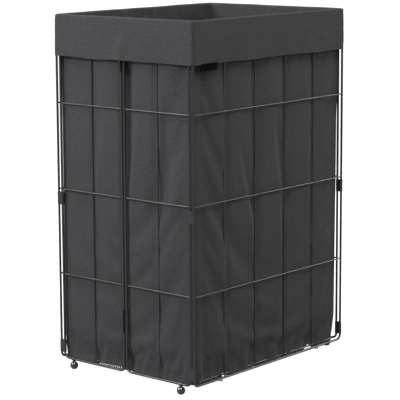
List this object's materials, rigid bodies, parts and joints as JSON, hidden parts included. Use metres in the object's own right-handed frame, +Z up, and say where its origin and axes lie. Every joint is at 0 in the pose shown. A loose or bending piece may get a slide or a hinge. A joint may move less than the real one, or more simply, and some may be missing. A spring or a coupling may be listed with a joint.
{
  "type": "laundry hamper",
  "caption": "Tall rectangular wire laundry hamper that folds flat, on small ball feet, with a dark cloth bag hung inside and turned over the rim as a cuff.",
  "frame": {"origin": "centre of the footprint, on the floor under the feet", "axes": "+X along the wide front, to the right seen from the front; the front with the tag faces -Y; +Z up"},
  "size_m": [0.4148, 0.309, 0.608],
  "materials": {
    "frame_wire": "satin black powder coat",
    "clip_steel": "satin black paint",
    "foot_plastic": "glossy black",
    "bag_cloth": "charcoal woven polyester",
    "tag_weave": "black woven tape"
  },
  "bodies": {
    "front_panel": {"front_wire_panel": "frame_wire", "front_left_bottom_clip": "clip_steel", "front_left_middle_clip": "clip_steel", "front_left_top_clip": "clip_steel", "front_right_bottom_clip": "clip_steel", "front_right_middle_clip": "clip_steel", "front_right_top_clip": "clip_steel", "bag_front_wall": "bag_cloth", "bag_front_cuff": "bag_cloth", "bag_tag": "tag_weave"},
    "left_front_half": {"left_front_wire_panel": "frame_wire", "left_front_foot_saddle": "clip_steel", "left_front_foot_ball": "foot_plastic", "bag_left_front_wall": "bag_cloth", "bag_left_front_cuff": "bag_cloth"},
    "left_centre_clips": {"left_lower_centre_clip": "clip_steel", "left_upper_centre_clip": "clip_steel"},
    "left_back_half": {"left_back_wire_panel": "frame_wire", "left_back_foot_saddle": "clip_steel", "left_back_foot_ball": "foot_plastic", "bag_left_back_wall": "bag_cloth", "bag_left_back_cuff": "bag_cloth"},
    "back_panel": {"back_wire_panel": "frame_wire", "back_left_bottom_clip": "clip_steel", "back_left_middle_clip": "clip_steel", "back_left_top_clip": "clip_steel", "back_right_bottom_clip": "clip_steel", "back_right_middle_clip": "clip_steel", "back_right_top_clip": "clip_steel", "bag_back_wall": "bag_cloth", "bag_back_cuff": "bag_cloth"},
    "right_front_half": {"right_front_wire_panel": "frame_wire", "right_front_foot_saddle": "clip_steel", "right_front_foot_ball": "foot_plastic", "bag_right_front_wall": "bag_cloth", "bag_right_front_cuff": "bag_cloth"},
    "right_lower_clip": {"right_lower_centre_clip": "clip_steel"},
    "right_upper_clip": {"right_upper_centre_clip": "clip_steel"},
    "right_back_half": {"right_back_wire_panel": "frame_wire", "right_back_foot_saddle": "clip_steel", "right_back_foot_ball": "foot_plastic", "bag_right_back_wall": "bag_cloth", "bag_right_back_cuff": "bag_cloth"},
    "base": {"base_wire_grid": "frame_wire", "base_left_hook": "frame_wire", "base_right_hook": "frame_wire", "bag_bottom": "bag_cloth"}
  },
  "joints": [
    {"name": "side_fold", "type": "hinge", "parent": "front_panel", "child": "left_front_half", "pos_m": [-0.2, -0.142, 0.31], "axis": [0, 0, 1], "range_deg": [0, 80], "deforming": ["bag_front_wall", "bag_front_cuff", "bag_back_wall", "bag_back_cuff", "bag_left_front_wall", "bag_left_front_cuff", "bag_left_back_wall", "bag_left_back_cuff", "bag_right_front_wall", "bag_right_front_cuff", "bag_right_back_wall", "bag_right_back_cuff", "bag_bottom"]},
    {"name": "left_clips_turn", "type": "hinge", "parent": "left_front_half", "child": "left_centre_clips", "pos_m": [-0.2, -0.003, 0.31], "axis": [0, 0, 1], "range_deg": [-80, 0]},
    {"name": "left_back_half_turn", "type": "hinge", "parent": "left_front_half", "child": "left_back_half", "pos_m": [-0.19748, 0, 0.31], "axis": [0, 0, 1], "range_deg": [-160, 0]},
    {"name": "back_panel_turn", "type": "hinge", "parent": "left_back_half", "child": "back_panel", "pos_m": [-0.2, 0.142, 0.31], "axis": [0, 0, 1], "range_deg": [0, 80]},
    {"name": "right_back_half_turn", "type": "hinge", "parent": "back_panel", "child": "right_back_half", "pos_m": [0.2, 0.142, 0.31], "axis": [0, 0, 1], "range_deg": [0, 80]},
    {"name": "right_upper_clip_turn", "type": "hinge", "parent": "right_back_half", "child": "right_upper_clip", "pos_m": [0.2, 0.003, 0.31], "axis": [0, 0, 1], "range_deg": [-80, 0]},
    {"name": "right_side_fold", "type": "hinge", "parent": "front_panel", "child": "right_front_half", "pos_m": [0.2, -0.142, 0.31], "axis": [0, 0, 1], "range_deg": [-80, 0]},
    {"name": "right_lower_clip_turn", "type": "hinge", "parent": "right_front_half", "child": "right_lower_clip", "pos_m": [0.2, -0.003, 0.31], "axis": [0, 0, 1], "range_deg": [0, 80]},
    {"name": "base_lift", "type": "hinge", "parent": "front_panel", "child": "base", "pos_m": [0, -0.147, 0.026], "axis": [1, 0, 0], "range_deg": [0, 84]}
  ],
  "couplings": [
    {"joint": "left_clips_turn", "follows": "side_fold", "ratio": -1},
    {"joint": "left_back_half_turn", "follows": "side_fold", "ratio": -2},
    {"joint": "back_panel_turn", "follows": "side_fold", "ratio": 1},
    {"joint": "right_back_half_turn", "follows": "side_fold", "ratio": 1},
    {"joint": "right_upper_clip_turn", "follows": "side_fold", "ratio": -1},
    {"joint": "right_side_fold", "follows": "side_fold", "ratio": -1},
    {"joint": "right_lower_clip_turn", "follows": "side_fold", "ratio": 1},
    {"joint": "base_lift", "follows": "side_fold", "ratio": 1.05}
  ]
}
